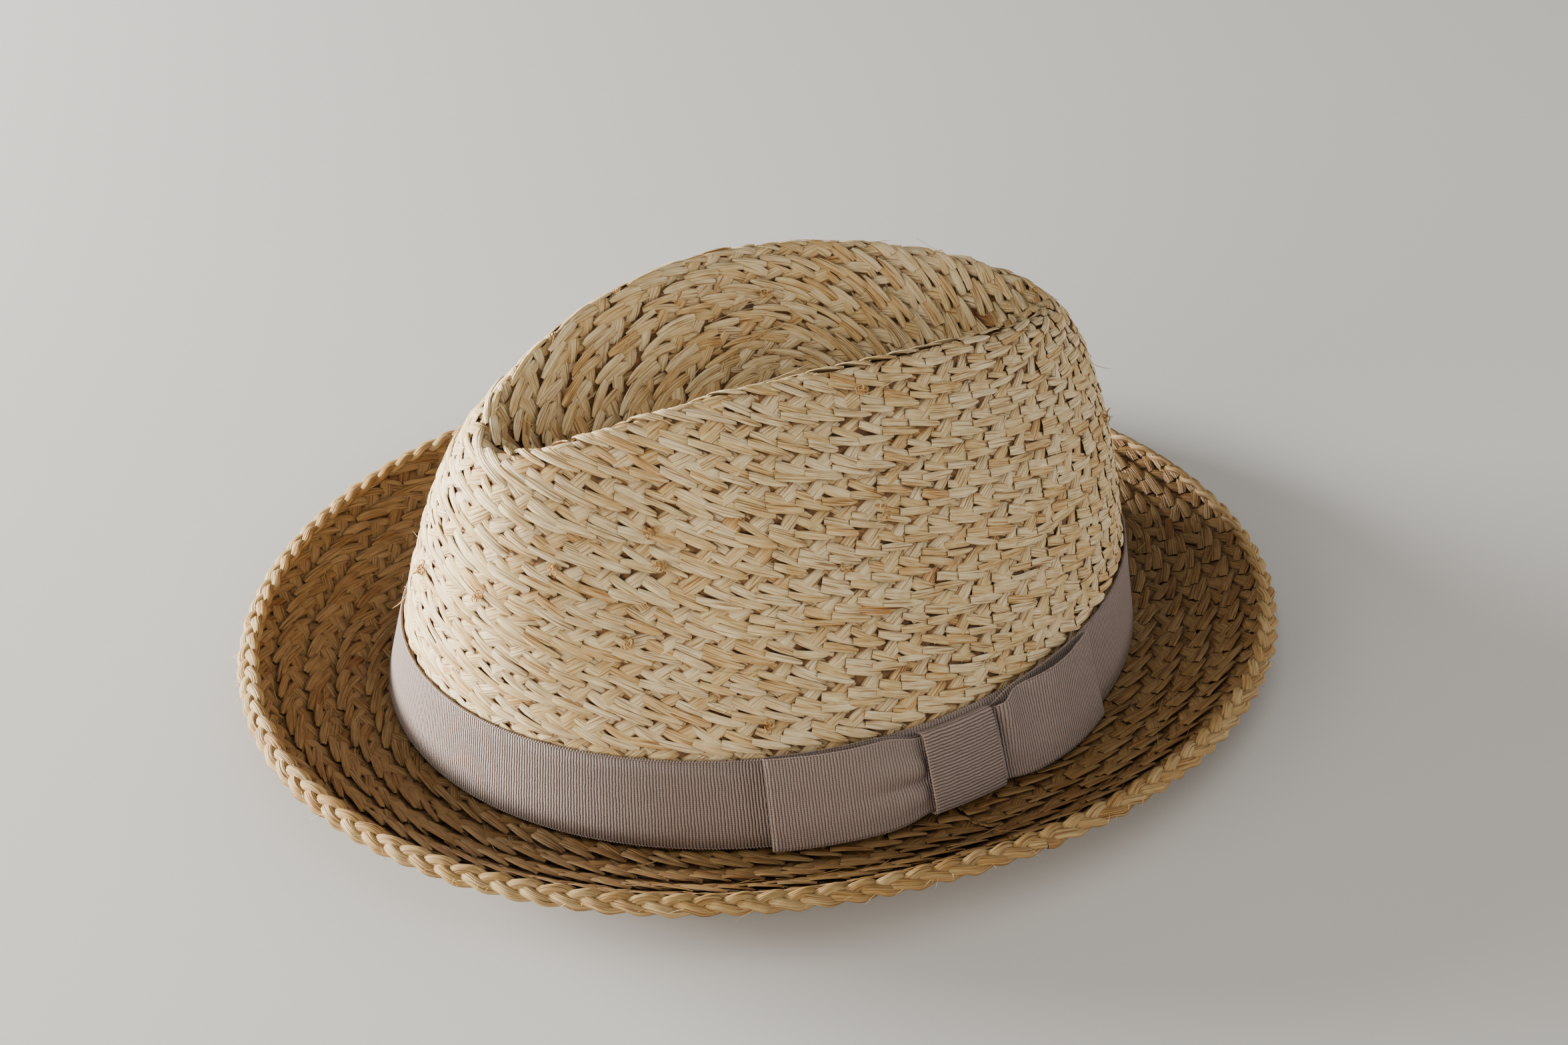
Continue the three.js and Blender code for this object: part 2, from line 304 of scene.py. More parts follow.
class Surface:
    """A grid of points round the head oval, read between its points by angle and share."""

    def __init__(self, points, side):
        self.points = points
        around = np.roll(points, -1, axis=0) - np.roll(points, 1, axis=0)
        normal = np.cross(around, np.gradient(points, axis=1)) * side
        normal[:, -1] = normal[:, -2]
        self.normals = unit(normal)
        self.length = np.linalg.norm(np.diff(points, axis=1), axis=2).sum(axis=1).mean()

    def at(self, angle, share, out):
        """Points at an angle and a share of the way over the surface, moved out from it."""
        count, rings = self.points.shape[:2]
        turn = np.mod(angle / ROUND, 1) * count
        column = np.floor(turn).astype(int) % count
        beside = (column + 1) % count
        place = np.clip(share, 0, 1) * (rings - 1)
        ring = np.minimum(np.floor(place).astype(int), rings - 2)
        across = (turn - np.floor(turn))[..., None]
        along = (place - ring)[..., None]

        def read(grid):
            near = mix(grid[column, ring], grid[column, ring + 1], along)
            far = mix(grid[beside, ring], grid[beside, ring + 1], along)
            return mix(near, far, across)

        return read(self.points) + unit(read(self.normals)) * np.asarray(out)[..., None]


def even_steps(points, count, level=0):
    """The same curves with their points at even distances. Up to the share called level, the points of
    all curves are equally far along, and the rest of each curve takes up its own length."""
    steps = np.linalg.norm(np.diff(points, axis=1), axis=2)
    run = np.concatenate([np.zeros((len(points), 1)), np.cumsum(steps, axis=1)], axis=1)
    shares = np.linspace(0, 1, count)
    ease = np.maximum(shares - level, 0) / (1 - level)
    if level:
        ease = ease**1.6
    usual = run[:, -1].mean()
    return np.array([
        [np.interp(shares * usual + ease * (far[-1] - usual), far, line[:, axis]) for axis in range(3)]
        for line, far in zip(points, run)
    ]).transpose(0, 2, 1)


def smooth_curve(knots, steps):
    """Centripetal curves through rows of knots."""
    first = 2 * knots[:, :1] - knots[:, 1:2]
    last = 2 * knots[:, -1:] - knots[:, -2:-1]
    line = np.concatenate([first, knots, last], axis=1)
    shares = np.linspace(0, 1, steps, endpoint=False)[None, :, None]
    curve = []
    for index in range(1, line.shape[1] - 2):
        before, start, end, after = (line[:, index + step][:, None] for step in (-1, 0, 1, 2))
        gaps = [
            np.sqrt(np.linalg.norm(b - a, axis=2, keepdims=True)) + 1e-6
            for a, b in ((before, start), (start, end), (end, after))
        ]
        leave = (start - before) / gaps[0] - (end - before) / (gaps[0] + gaps[1]) + (end - start) / gaps[1]
        arrive = (end - start) / gaps[1] - (after - start) / (gaps[1] + gaps[2]) + (after - end) / gaps[2]
        leave = leave * gaps[1]
        arrive = arrive * gaps[1]
        square = -3 * start + 3 * end - 2 * leave - arrive
        cube = 2 * start - 2 * end + leave + arrive
        curve.append(start + leave * shares + square * shares**2 + cube * shares**3)
    curve.append(knots[:, -1:])
    return np.concatenate(curve, axis=1)


def crown_surface():
    """The outer face of the crown, from its foot over the ridge to the middle of the crease."""
    angle = np.linspace(0, ROUND, AROUND, endpoint=False)
    across, back = np.cos(angle), np.sin(angle)
    foot = np.stack([FOOT_WIDTH / 2 * across, FOOT_LENGTH / 2 * back], axis=1)
    outward = unit(foot)
    taper = 1 + FRONT_TAPER * np.minimum(back, 0)
    ridge = np.stack([RIDGE_WIDTH / 2 * across * taper, RIDGE_LENGTH / 2 * back], axis=1)
    line = np.stack([0 * across, CREASE_LINE / 2 * back], axis=1)
    behind = ridge[:, 1] + RIDGE_PEAK
    drop = np.where(behind < 0, FRONT_DROP, BACK_DROP)
    run = np.where(behind < 0, RIDGE_LENGTH / 2 - RIDGE_PEAK, RIDGE_LENGTH / 2 + RIDGE_PEAK)
    ridge_height = CROWN_HEIGHT - drop * (behind / run) ** 2
    from_side = np.degrees(np.arctan2(-back, np.abs(across)))
    pinch = PINCH_DEPTH * bell(from_side - PINCH_ANGLE, PINCH_SPREAD)
    knots = []
    for rise, side, front, rear, pinched in WALL:
        way = mix(side, np.where(back < 0, front, rear), back**2)[:, None]
        place = mix(foot, ridge, way) - outward * (pinched * pinch)[:, None]
        knots.append(np.column_stack([place, mix(FOOT_HEIGHT, ridge_height, rise)]))
    for way, fall in CREASE:
        place = mix(ridge, line, way)
        knots.append(np.column_stack([place, mix(ridge_height, CROWN_HEIGHT - CREASE_DEPTH, fall)]))
    steps = 24
    curve = smooth_curve(np.stack(knots, axis=1), steps)
    # The plait starts at one point of the tip, so over the top its rows ring that point, not the crease
    wall = curve[:, :steps * len(WALL) + 1]
    coarse = curve[::3, ::2]
    turns, rings = coarse.shape[:2]
    cells = [
        (turn * rings + ring, (turn + 1) % turns * rings + ring,
         (turn + 1) % turns * rings + ring + 1, turn * rings + ring + 1)
        for turn in range(turns) for ring in range(rings - 1)
    ]
    tree = BVHTree.FromPolygons([Vector(point) for point in coarse.reshape(-1, 3)], cells)
    top = []
    for way in np.linspace(0, 1, 60)[1:]:
        flat = mix(wall[:, -1, :2], np.array([0, TIP_CENTRE]), way * 0.995)
        drops = [tree.ray_cast(Vector((x, y, 2 * CROWN_HEIGHT)), Vector((0, 0, -1)))[0] for x, y in flat]
        top.append(np.array([drop[:] for drop in drops]))
    points = even_steps(np.concatenate([wall, np.stack(top, axis=1)], axis=1), 220, LEVEL_SHARE)
    return Surface(points + (MIDDLE_X, MIDDLE_Y, 0), 1)


def brim_surface():
    """The upper face of the brim, from the crown's foot to its edge braid."""
    angle = np.linspace(0, ROUND, AROUND, endpoint=False)[:, None]
    width = BRIM_REACH + END_REACH * np.sin(angle) ** 2 - REST_WIDTH
    inner = -RIBBON_ROOM - WALL_THICKNESS
    reach = inner + (width + REST_WIDTH + UNDER_EDGE - inner) * np.linspace(0, 1, 120)[None, :]
    head_width = FOOT_WIDTH + 2 * RIBBON_ROOM
    head_length = FOOT_LENGTH + 2 * RIBBON_ROOM
    out = unit(np.concatenate([np.cos(angle) / head_width, np.sin(angle) / head_length], axis=1))
    ends = LEFT_LIFT * np.cos(angle) - FRONT_LIFT * np.sin(angle)
    lift = BRIM_LIFT + ends + SIDE_LIFT * np.cos(2 * angle)
    bent = np.maximum(reach - REST_WIDTH, 0) / width
    slope = np.arctan(lift * BRIM_CURL * bent ** (BRIM_CURL - 1) / width)
    away = reach - WALL_THICKNESS * np.sin(slope)
    points = np.stack([
        head_width / 2 * np.cos(angle) + out[:, :1] * away + MIDDLE_X,
        head_length / 2 * np.sin(angle) + out[:, 1:] * away + MIDDLE_Y,
        lift * bent**BRIM_CURL + WALL_THICKNESS * np.cos(slope),
    ], axis=2)
    return Surface(even_steps(points, 120), -1)


CROWN = crown_surface()
BRIM = brim_surface()


# Materials

RAMP = "ShaderNodeValToRGB"
MATH = "ShaderNodeMath"
NOISE = "ShaderNodeTexNoise"
MAPPING = "ShaderNodeMapping"
MIX = "ShaderNodeMix"


def node(tree, kind, inputs=None, stops=(), **settings):
    """Adds a node with its settings. An input is a socket to link from, or a value. stops are the places
    and linear colours of a colour ramp."""
    made = tree.nodes.new(kind)
    for name, value in settings.items():
        setattr(made, name, value)
    for name, value in (inputs or {}).items():
        if isinstance(value, bpy.types.NodeSocket):
            tree.links.new(value, made.inputs[name])
        else:
            made.inputs[name].default_value = value
    if stops:
        steps = made.color_ramp.elements
        while len(steps) < len(stops):
            steps.new(1)
        for step, (place, colour) in zip(steps, stops):
            step.position = place
            step.color = (*colour, 1)
    return made


def new_material(name, inputs):
    """An empty material and its shader, with the shader's inputs."""
    material = bpy.data.materials.new(name)
    material.use_nodes = True
    tree = material.node_tree
    tree.nodes.clear()
    shader = node(tree, "ShaderNodeBsdfPrincipled", inputs)
    node(tree, "ShaderNodeOutputMaterial", {"Surface": shader.outputs["BSDF"]})
    return material, tree, shader


def raffia_material(name, painted_shade_colour, tint_and_painted_shade):
    """Raffia: split palm leaf, dried and plaited by hand. It is matt with a faint gloss along the leaf,
    and each strand has its own tone with fine splits along it."""
    sizes = bpy.context.scene.hat_sizes
    colours = bpy.context.scene.hat_colours
    material, tree, shader = new_material(name, {"Roughness": 0.62, "Specular IOR Level": 0.35})
    leaf = node(tree, "ShaderNodeUVMap", uv_map="leaf").outputs["UV"]
    tone = node(tree, "ShaderNodeAttribute", attribute_name="tone").outputs["Fac"]
    rise = node(tree, "ShaderNodeAttribute", attribute_name="rise").outputs["Fac"]
    # One split fibre is fibre_width across and runs about 9 mm along the strand
    split = node(tree, MAPPING, {
        "Vector": leaf, "Scale": (1 / 9, 1 / sizes.fibre_width, 1)}).outputs["Vector"]
    fibres = node(tree, NOISE, {"Vector": split, "Scale": 1, "Detail": 3, "Roughness": 0.6}).outputs["Fac"]
    # Darker patches are about 4.5 mm across
    bands = node(tree, NOISE, {"Vector": leaf, "Scale": 0.22, "Detail": 1}).outputs["Fac"]
    streaks = node(tree, RAMP, {"Fac": fibres}, (
        (0.33, colours.brown), (0.42, colours.tan), (0.51, colours.straw), (0.62, colours.pale)))
    tones = node(tree, RAMP, {"Fac": tone}, (
        (0.0, colours.tan), (0.3, colours.straw), (0.75, colours.pale), (0.97, colours.pale),
        (1.0, colours.knot)))
    colour = node(tree, MIX, {
        0: 0.5, 6: streaks.outputs[0], 7: tones.outputs[0]}, data_type="RGBA").outputs[2]
    # Brown lines lie between some of the fibres, about 0.2 mm wide
    line_place = node(tree, MAPPING, {
        "Vector": leaf, "Location": (3, 7, 0), "Scale": (1 / 14, 1 / 0.36, 1)}).outputs["Vector"]
    lines = node(tree, NOISE, {"Vector": line_place, "Scale": 1, "Detail": 1}).outputs["Fac"]
    white = (1, 1, 1)
    split_lines = node(tree, RAMP, {"Fac": lines}, ((0.33, (0.34, 0.2, 0.1)), (0.43, white)))
    patch = node(tree, RAMP, {"Fac": bands}, ((0.3, (0.82, 0.76, 0.68)), (0.6, white)))
    # Painted shade: where the rise number is low, the straw darkens towards the shade colour given
    depth = node(tree, RAMP, {"Fac": rise}, ((0.0, painted_shade_colour), (0.75, white)))
    # Splits and patches are the straw's own marks. The last tint darkens the whole material, and on the
    # brim and the fibres on it that tint is painted shade
    darker = (
        (0.85, split_lines.outputs[0]),
        (0.8, patch.outputs[0]),
        (1, depth.outputs[0]),
        (1, (*tint_and_painted_shade, 1)),
    )
    for factor, shade in darker:
        colour = node(tree, MIX, {
            0: factor, 6: colour, 7: shade}, data_type="RGBA", blend_type="MULTIPLY").outputs[2]
    tree.links.new(colour, shader.inputs["Base Color"])
    height = node(tree, MATH, {0: lines, 1: 1.5, 2: fibres}, operation="MULTIPLY_ADD").outputs[0]
    bump = node(tree, "ShaderNodeBump", {"Height": height, "Strength": 0.9, "Distance": 0.3 * MM})
    tree.links.new(bump.outputs["Normal"], shader.inputs["Normal"])
    return material


def backing_material():
    """The inside of the plait where strands cross: the same leaf, coloured dark brown as painted shade."""
    colours = bpy.context.scene.hat_colours
    material, tree, shader = new_material("raffia_backing", {"Roughness": 0.8})
    place = node(tree, "ShaderNodeTexCoord").outputs["Object"]
    # Patches are about 2.5 mm across, a little less than most strands
    patches = node(tree, NOISE, {"Vector": place, "Scale": 1 / (2.5 * MM), "Detail": 2}).outputs["Fac"]
    # Painted shade: the darkest patches are the brown at a quarter of its brightness
    dark = [part * 0.25 for part in colours.brown]
    colour = node(tree, RAMP, {"Fac": patches}, ((0.35, dark), (0.7, colours.brown)))
    tree.links.new(colour.outputs[0], shader.inputs["Base Color"])
    return material


def grosgrain_material(name, turned):
    """Grosgrain: a matt woven ribbon of fine yarn over thick ribs, with a soft sheen on each rib."""
    sizes = bpy.context.scene.hat_sizes
    colours = bpy.context.scene.hat_colours
    material, tree, shader = new_material(name, {
        "Roughness": 0.66, "Sheen Weight": 0.15, "Sheen Roughness": 0.4})
    cloth = node(tree, "ShaderNodeUVMap", uv_map="cloth").outputs["UV"]
    split = node(tree, "ShaderNodeSeparateXYZ", {"Vector": cloth})
    along, across = split.outputs["X"], split.outputs["Y"]
    if turned:
        along, across = across, along
    # The weave is uneven over about 3 mm, which shifts a rib by up to 0.5 mm
    wobble = node(tree, NOISE, {"Vector": cloth, "Scale": 0.35, "Detail": 2}).outputs["Fac"]
    shifted = node(tree, MATH, {0: wobble, 1: 0.5, 2: along}, operation="MULTIPLY_ADD").outputs[0]
    # Ribs lie rib_pitch apart, and the fine yarn that covers them is 0.5 mm wide
    turns = node(tree, MATH, {0: shifted, 1: math.pi / sizes.rib_pitch}, operation="MULTIPLY")
    wave = node(tree, MATH, {0: turns.outputs[0]}, operation="SINE")
    rib = node(tree, MATH, {0: wave.outputs[0]}, operation="ABSOLUTE").outputs[0]
    yarn_turns = node(tree, MATH, {0: across, 1: ROUND / 0.5}, operation="MULTIPLY")
    yarn = node(tree, MATH, {0: yarn_turns.outputs[0]}, operation="SINE").outputs[0]
    height = node(tree, MATH, {0: yarn, 1: 0.12, 2: rib}, operation="MULTIPLY_ADD").outputs[0]
    # Painted shade: the ramp colours the grooves between the ribs darker than their tops
    ribs = node(tree, RAMP, {"Fac": height}, ((0.1, colours.groove_shade), (0.75, colours.ribbon)))
    cloudy = node(tree, RAMP, {"Fac": wobble}, ((0.3, (0.9, 0.88, 0.87)), (0.7, (1, 1, 1))))
    colour = node(tree, MIX, {
        0: 0.7, 6: ribs.outputs[0], 7: cloudy.outputs[0]}, data_type="RGBA", blend_type="MULTIPLY")
    tree.links.new(colour.outputs[2], shader.inputs["Base Color"])
    bump = node(tree, "ShaderNodeBump", {"Height": height, "Strength": 1.0, "Distance": 0.3 * MM})
    tree.links.new(bump.outputs["Normal"], shader.inputs["Normal"])
    return material


# Mesh helpers

def new_mesh(shape, name):
    """The mesh of a finished shape."""
    mesh = bpy.data.meshes.new(name)
    shape.to_mesh(mesh)
    shape.free()
    return mesh


def share_grid(columns, rows):
    """A flat grid, and its points as pairs of shares from 0 to 1."""
    shape = bmesh.new()
    bmesh.ops.create_grid(shape, x_segments=columns, y_segments=rows, size=0.5)
    return shape, np.array([point.co[:2] for point in shape.verts]) + 0.5


def move_points(shape, places):
    """Moves a shape's points to places in millimetres."""
    for point, place in zip(shape.verts, places * MM):
        point.co = place


def finish_piece(piece, node_names, material):
    """Smooth, coloured and riding on the hat."""
    piece.data.materials.append(material)
    piece.data.shade_smooth()
    bpy.context.scene.collection.objects.link(piece)
    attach(piece, "root")
    for name in node_names:
        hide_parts(name)


def leaf_mesh(long_steps, cross_steps, inward):
    """A closed pad for one strand where it shows: a grid with its outline filled in behind."""
    shape = bmesh.new()
    bmesh.ops.create_grid(shape, x_segments=long_steps, y_segments=cross_steps, size=1)
    outline = [edge for edge in shape.edges if edge.is_boundary]
    bmesh.ops.contextual_create(shape, geom=outline)
    for edge in outline:
        edge.smooth = False
    if inward:
        bmesh.ops.reverse_faces(shape, faces=shape.faces)
    return new_mesh(shape, "leaf")


def repeat_mesh(name, part, count):
    """Copies of one mesh as one object, and its points as an array of count rows."""
    shape = bmesh.new()
    for _ in range(count):
        shape.from_mesh(part)
    local = np.empty(3 * len(part.vertices))
    part.vertices.foreach_get("co", local)
    return bpy.data.objects.new(name, new_mesh(shape, name)), local.reshape(-1, 3)


def set_points(mesh, points):
    """Places a mesh's points, given in millimetres."""
    mesh.vertices.foreach_set("co", np.ascontiguousarray(points, dtype=float).ravel() * MM)
    mesh.update()


def set_number(mesh, name, values):
    """A named number on each point, for the materials to read."""
    made = mesh.attributes.new(name, "FLOAT", "POINT")
    made.data.foreach_set("value", np.ascontiguousarray(values, dtype=float).ravel())


def set_map(mesh, name, along, across):
    """A UV map in millimetres from one pair of numbers a point."""
    layer = mesh.uv_layers.new(name=name)
    corners = np.empty(len(mesh.loops), dtype=int)
    mesh.loops.foreach_get("vertex_index", corners)
    pairs = np.stack([along.ravel()[corners], across.ravel()[corners]], axis=1)
    layer.data.foreach_set("uv", pairs.ravel())


def close_seam(mesh):
    """Joins a rolled grid where its edges meet, with its faces outward."""
    seam = bmesh.new()
    seam.from_mesh(mesh)
    bmesh.ops.remove_doubles(seam, verts=seam.verts, dist=2e-6)
    bmesh.ops.recalc_face_normals(seam, faces=seam.faces)
    seam.to_mesh(mesh)
    seam.free()


# Plait

class Plait:
    """The middle line of a plait sewn round and round a surface, as one spiral from its inner end or as
    closed rings. inner_end is the surface's share there, and turn counts rows outward."""

    def __init__(self, surface, rows, inner_end, rings, span):
        self.surface = surface
        self.rows = rows
        self.inner_end = inner_end
        self.rings = rings
        self.turns = np.linspace(span[0], span[1], int((span[1] - span[0]) * AROUND))
        self.run = run_along(self.place(self.turns, self.row(self.turns), 0))

    def row(self, turn):
        """Rows from the inner end to the middle of the plait at a turn."""
        return np.floor(turn) + 0.5 if self.rings else turn

    def place(self, turn, row, out):
        """A point at a turn and a number of rows, moved out from the surface."""
        share = row / self.rows
        return self.surface.at(turn * ROUND, abs(self.inner_end - share), out)


def lay_plait(name, plait, part, inward, depth, seed, span=(0, 99)):
    """Strands of a plait laid along its middle line, on the turns of a span, or on all of them if none is
    given. depth is how far behind the surface their backs lie."""
    sizes = bpy.context.scene.hat_sizes
    chance = np.random.RandomState(seed)
    pitch = sizes.row_pitch
    first, last = np.round(np.interp(span, plait.turns, plait.run) / pitch).astype(int)
    strands = np.array(STRANDS)
    kind = np.tile(np.arange(len(strands)), last - first)
    cell = np.repeat(np.arange(first, last), len(strands))
    count = len(cell)
    piece, local = repeat_mesh(name, part, count)
    along, across, length, width, turn, lift, tilt = strands[kind].T
    loose = sizes.looseness

    def vary(spread):
        """Unevenness: a share of the turn, length, width or lean, degrees, or else millimetres."""
        return chance.normal(0, spread * loose, count)

    turn = np.radians(turn * (1 + vary(0.12)) + vary(3.5))
    length = length * pitch * (1 + vary(0.07))
    width = width * pitch * (1 + np.clip(vary(0.13), -0.3, 0.3))
    lift = lift + vary(0.1)
    bend = vary(0.18)
    x = local[:, 0][None, :]
    y = (np.sign(local[:, 1]) * np.abs(local[:, 1]) ** 0.45)[None, :]
    ends = np.abs(x) ** 4
    tuck = np.clip(x - 0.1, 0, 1) ** 2
    waver = np.sin(3 * x + chance.uniform(0, ROUND, count)[:, None])
    slim = 1 - 0.15 * ends - 0.45 * tuck + 0.07 * waver
    lean = vary(0.1)[:, None] * x
    near = x * length[:, None] / 2
    side = (y * slim + lean) * width[:, None] / 2 + bend[:, None] * (1 - x**2)
    cosine, sine = np.cos(turn)[:, None], np.sin(turn)[:, None]
    run = (cell + 0.5 + along)[:, None] * pitch + vary(0.16)[:, None] + near * cosine - side * sine
    over = (across * pitch + vary(0.14))[:, None] + near * sine + side * cosine
    rise = 1 - np.abs(y) ** 5
    twist = vary(0.12)[:, None] * y
    height = lift[:, None] + tilt[:, None] * x - 0.35 * ends + 0.34 * rise + twist + 0.12 * over
    height = np.maximum(height, 0.02)
    turns = np.interp(run, plait.run, plait.turns)
    middle = np.interp((cell[:, None] + 0.5) * pitch, plait.run, plait.turns)
    row = plait.row(middle if plait.rings else turns) + over / pitch
    out = -depth - height if inward else height - depth
    points = plait.place(turns, row, out)
    points[..., 2] = np.maximum(points[..., 2], REST_GAP)
    set_points(piece.data, points)
    tone = 0.96 * chance.beta(1.7, 1.5, count)
    tone = np.where(chance.uniform(size=count) < 0.003, 1.0, tone)
    set_number(piece.data, "tone", np.repeat(tone, len(local)))
    # The rise number sets painted shade: it is lowest at the edges and ends of a strand and where the
    # strand lies low in the plait
    set_number(piece.data, "rise", np.clip(0.52 * rise - 0.2 * ends + 0.42 * height, 0, 1))
    offset = chance.uniform(-400, 400, count)[:, None]
    set_map(piece.data, "leaf", near + offset, side + 0.37 * offset)
    return piece


def thicken(piece, thickness):
    """Gives a sheet its thickness, half of it on each side."""
    wall = piece.modifiers.new("wall", "SOLIDIFY")
    wall.thickness = thickness * MM
    wall.offset = 0


def lay_backing(name, surface, depth, steps):
    """A thin backing all round, behind a surface's plait."""
    shape, local = share_grid(180, steps)
    move_points(shape, surface.at(local[:, 0] * ROUND, local[:, 1], -depth))
    bmesh.ops.remove_doubles(shape, verts=shape.verts, dist=1e-6)
    backing = bpy.data.objects.new(name, new_mesh(shape, name))
    thicken(backing, BACKING_THICKNESS)
    finish_piece(backing, [], backing_material())


# Ribbon

def knot_grip(distance):
    """How firmly the knot holds the bow, from 1 below the knot to 0 well past it."""
    return bell(np.maximum(distance - KNOT_WIDTH / 2, 0), KNOT_WIDTH / 3)


def bow_angle(distance):
    """Distance round the head oval turned into an angle from the bow's middle."""
    half_length = FOOT_LENGTH / 2 + RIBBON_ROOM
    return math.radians(BOW_ANGLE) + distance / half_length


def wall_place(angle, height, out):
    """A point at a height up the crown's wall, moved out from it."""
    return CROWN.at(angle, height / CROWN.length, out)


def cloth_grid(name, columns, rows, place, size, closed=False):
    """A strip of ribbon: a grid whose points are placed by a function of two shares."""
    shape, local = share_grid(columns, rows)
    move_points(shape, place(local[:, 0], local[:, 1]))
    mesh = new_mesh(shape, name)
    set_map(mesh, "cloth", local[:, 0] * size[0], local[:, 1] * size[1])
    if closed:
        close_seam(mesh)
    return bpy.data.objects.new(name, mesh)


def woven_edge(name, length, place, material):
    """The ribbon's edge: a thin row of loops of yarn, one at each rib."""
    pitch = bpy.context.scene.hat_sizes.rib_pitch
    loops = round(length / pitch)
    shape, local = share_grid(3 * loops, 5)
    along = mix(0.001, 0.999, local[:, 0])
    ahead = unit(place(along + 0.0008) - place(along - 0.0008))
    beside = unit(np.cross(ahead, (0, 0, 1.0)), 1e-6)
    above = np.cross(beside, ahead)
    around = local[:, 1] * ROUND
    thick = 0.3 + 0.12 * np.cos(local[:, 0] * loops * ROUND)
    points = place(along) + beside * (thick * np.cos(around))[:, None]
    move_points(shape, points + above * (thick * np.sin(around))[:, None])
    mesh = new_mesh(shape, name)
    set_map(mesh, "cloth", local[:, 0] * length, local[:, 1])
    close_seam(mesh)
    finish_piece(bpy.data.objects.new(name, mesh), [], material)


def ribbon_line():
    """The middle line of a bow loop, as distance from the bow's middle and distance from the ribbon."""
    inner = CLEARANCE + RIBBON_PACKED / 2
    length = BOW_LENGTH / 2 - CLEARANCE / 2 - RIBBON_PACKED / 2
    along, layer, puff = np.array(LOOP).T
    distance = CLEARANCE / 2 + along * length
    apart = RIBBON_PACKED + mix(LOOP_GAP, CLEARANCE, knot_grip(distance))
    away = inner + layer * apart + puff * LOOP_GAP
    line = np.stack([distance, away, 0 * away], axis=1)[None]
    return even_steps(smooth_curve(line, 12), 160)[0]


# Operators

class HAT_OT_crown(bpy.types.Operator):
    """Lays the crown's plait on its outside and inside, over a thin backing"""

    bl_idname = "hat.crown"
    bl_label = "Crown"

    def execute(self, context):
        pitch = context.scene.hat_sizes.row_pitch
        rows = round(float(CROWN.length) / pitch)
        straw = raffia_material("plaited_raffia", linear("#7E5630"), (1, 1, 1))
        part = leaf_mesh(5, 4, False)
        # Three pieces of the one spiral: the rows near the foot, then the wall, then the top
        ridge = round(rows * RIDGE_SHARE)
        middle = round(rows * WALL_SHARE)
        plait = Plait(CROWN, rows, 1, False, (0.4, rows - 0.2))
        low = lay_plait("crown_foot_plait", plait, part, False, STRAND_DEPTH, 11, (middle, rows))
        wall = lay_plait("crown_wall_plait", plait, part, False, STRAND_DEPTH, 14, (ridge, middle))
        top = lay_plait("crown_top_plait", plait, part, False, STRAND_DEPTH, 12, (0, ridge))
        small = leaf_mesh(3, 2, True)
        inside = lay_plait("crown_inside_plait", plait, small, True, CROWN_INSIDE_DEPTH, 13)
        for piece in (low, wall, top, inside):
            finish_piece(piece, ["crown"], straw)
        lay_backing("crown_backing", CROWN, CROWN_BACKING_DEPTH, 60)
        return {"FINISHED"}


class HAT_OT_brim(bpy.types.Operator):
    """Lays the brim's plait on its upper side and underside"""

    bl_idname = "hat.brim"
    bl_label = "Brim"

    def execute(self, context):
        pitch = context.scene.hat_sizes.row_pitch
        rows = round(float(BRIM.length) / pitch)
        # The brim's straw is the crown's raffia with painted shade: a darker shade colour in its low parts
        # and a dark brown tint over the whole brim
        straw = raffia_material("shaded_raffia", linear("#5E3F22"), (0.34, 0.26, 0.17))
        part = leaf_mesh(5, 4, False)
        plait = Plait(BRIM, rows, 0, True, (0, rows - 0.001))
        upper = lay_plait("brim_plait", plait, part, False, STRAND_DEPTH, 21)
        finish_piece(upper, ["brim"], straw)
        under = lay_plait("brim_under_plait", plait, leaf_mesh(4, 3, True), True, BRIM_UNDER_DEPTH, 22)
        finish_piece(under, [], straw)
        lay_backing("brim_backing", BRIM, BRIM_BACKING_DEPTH, 12)
        return {"FINISHED"}


